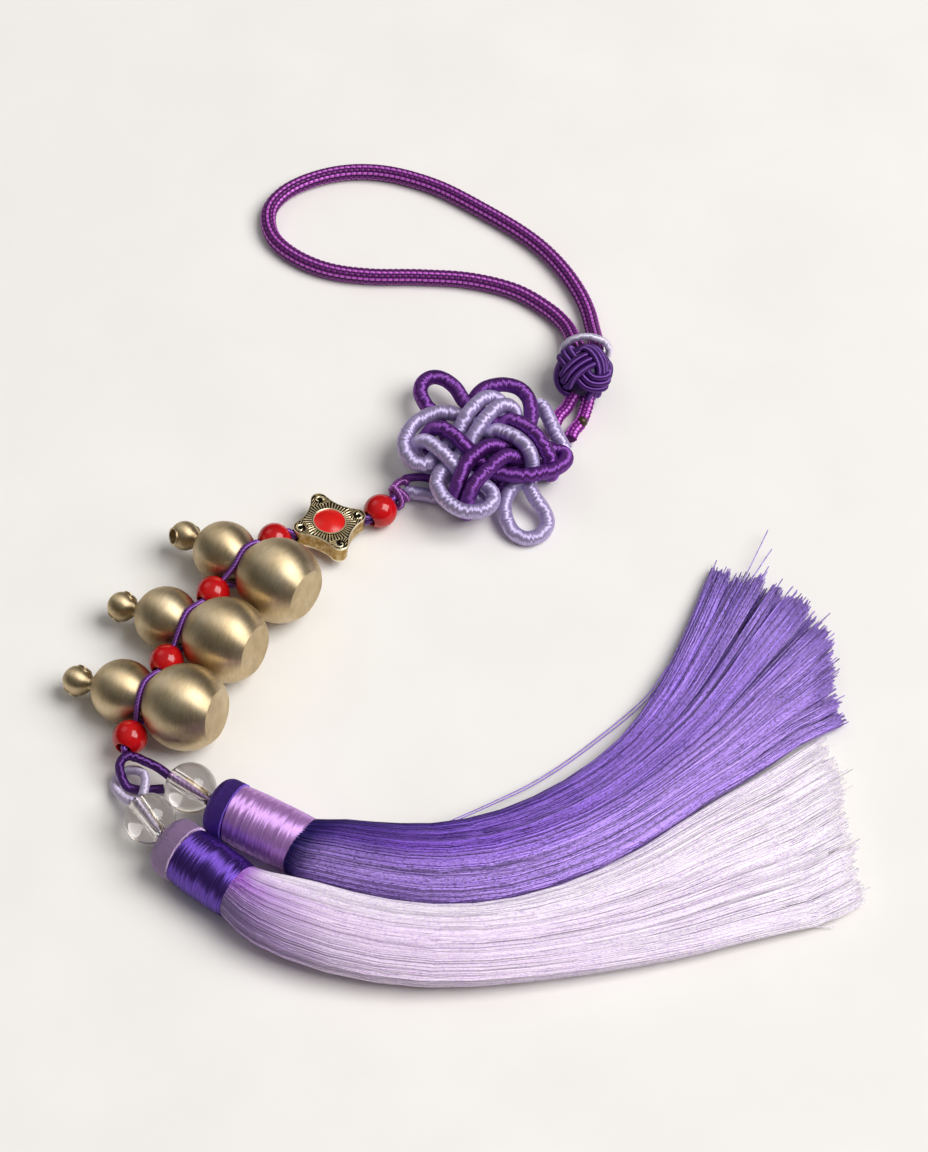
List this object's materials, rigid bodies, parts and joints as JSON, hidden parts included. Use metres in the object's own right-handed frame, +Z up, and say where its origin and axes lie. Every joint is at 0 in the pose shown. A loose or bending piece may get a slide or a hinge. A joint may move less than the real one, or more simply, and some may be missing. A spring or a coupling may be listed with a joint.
{
  "type": "gourd charm",
  "caption": "Hanging charm laid flat: a cord loop, a button knot and a large knot of wrapped cord, brass gourds and red beads on a string, clear beads and tassels.",
  "frame": {"origin": "on the surface, under the middle of the charm without its hanging loop", "axes": "+Z up from the surface that the charm lies on, +Y towards the hanging loop, +X towards the tassels' tips"},
  "size_m": [0.1337, 0.1778, 0.0149],
  "materials": {
    "loop_cord": "braided shiny cord with small light grains",
    "ring_cord": "smooth satin cord",
    "button_cord": "three thin satin cords side by side",
    "purple_thread": "cord wrapped with glossy thread, with fine cross ridges",
    "lavender_thread": "cord wrapped with glossy thread, with fine cross ridges",
    "tie_cord": "thin satin cord",
    "red_bead": "glossy opaque red",
    "antique_gold": "cast, worn gold with dark recesses",
    "red_enamel": "glossy domed enamel",
    "satin_brass": "pale brass, finely brushed",
    "string_cord": "thin waxed cord",
    "link_purple_cord": "thin twisted cord",
    "link_lavender_cord": "thin twisted cord",
    "clear_glass": "clear, polished",
    "lilac_head_thread": "wound glossy thread",
    "purple_head_thread": "wound glossy thread",
    "lilac_fringe": "long combed silky threads, orchid at the head",
    "purple_fringe": "long combed silky threads, lighter at the tips"
  },
  "bodies": {
    "root": {"hanging_loop": "loop_cord", "stem_cords": "loop_cord", "loop_ring": "ring_cord", "button_knot": "button_cord", "knot_purple": "purple_thread", "knot_lavender": "lavender_thread", "knot_tie": "tie_cord", "red_bead_1": "red_bead", "red_bead_2": "red_bead", "red_bead_3": "red_bead", "red_bead_4": "red_bead", "red_bead_5": "red_bead", "spacer_bead": "antique_gold", "spacer_enamel": "red_enamel", "gourd_1": "satin_brass", "gourd_2": "satin_brass", "gourd_3": "satin_brass", "string_over": "string_cord", "string_under": "string_cord", "link_purple": "link_purple_cord", "link_lavender": "link_lavender_cord", "clear_bead_1": "clear_glass", "clear_bead_2": "clear_glass", "tassel_cord_1": "link_lavender_cord", "tassel_cord_2": "link_purple_cord", "tassel_1_cap": "lilac_head_thread", "tassel_1_collar": "purple_head_thread", "tassel_1_skirt": "lilac_fringe", "tassel_2_cap": "purple_head_thread", "tassel_2_collar": "lilac_head_thread", "tassel_2_skirt": "purple_fringe"}
  },
  "joints": []
}
